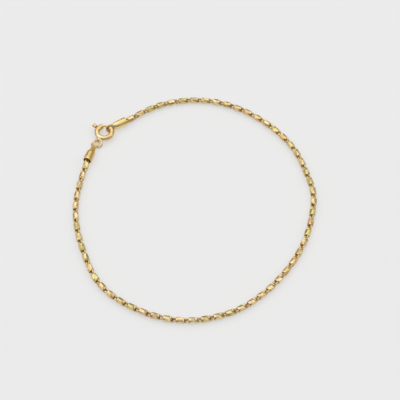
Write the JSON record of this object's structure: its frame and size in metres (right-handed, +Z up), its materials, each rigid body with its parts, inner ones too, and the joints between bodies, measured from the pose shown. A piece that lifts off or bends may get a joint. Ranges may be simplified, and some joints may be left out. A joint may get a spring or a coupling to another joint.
{
  "type": "fine chain bracelet",
  "caption": "Slim gold bracelet of faceted barrel links with bell-shaped end caps and a spring-ring clasp, fastened into a closed loop that lies flat.",
  "frame": {"origin": "middle of the base: the centre of the bounding box in X and Y, on the surface that the bracelet lies on", "axes": "+Z up, along the wrist; the clasp is at -X +Y and the picture looks along +Y and down"},
  "size_m": [0.0591, 0.0633, 0.0024],
  "materials": {
    "chain_far_gold": "polished yellow gold, diamond-cut flats",
    "chain_near_gold": "polished yellow gold, diamond-cut flats",
    "spring_ring_gold": "polished yellow gold",
    "trigger_gold": "polished yellow gold",
    "catch_cap_gold": "polished yellow gold",
    "eye_cap_gold": "polished yellow gold"
  },
  "bodies": {
    "bracelet": {"chain_far_half": "chain_far_gold", "chain_near_half": "chain_near_gold", "spring_ring": "spring_ring_gold", "catch_end_cap": "catch_cap_gold", "eye_end_cap": "eye_cap_gold"},
    "trigger": {"trigger": "trigger_gold"}
  },
  "joints": [
    {"name": "trigger_slide", "type": "hinge", "parent": "bracelet", "child": "trigger", "pos_m": [-0.02259, 0.02072, 0.00116], "axis": [0, 0, 1], "range_deg": [0, 52], "stiffness_Nm_per_rad": 0.002, "springref_deg": -17.19}
  ]
}
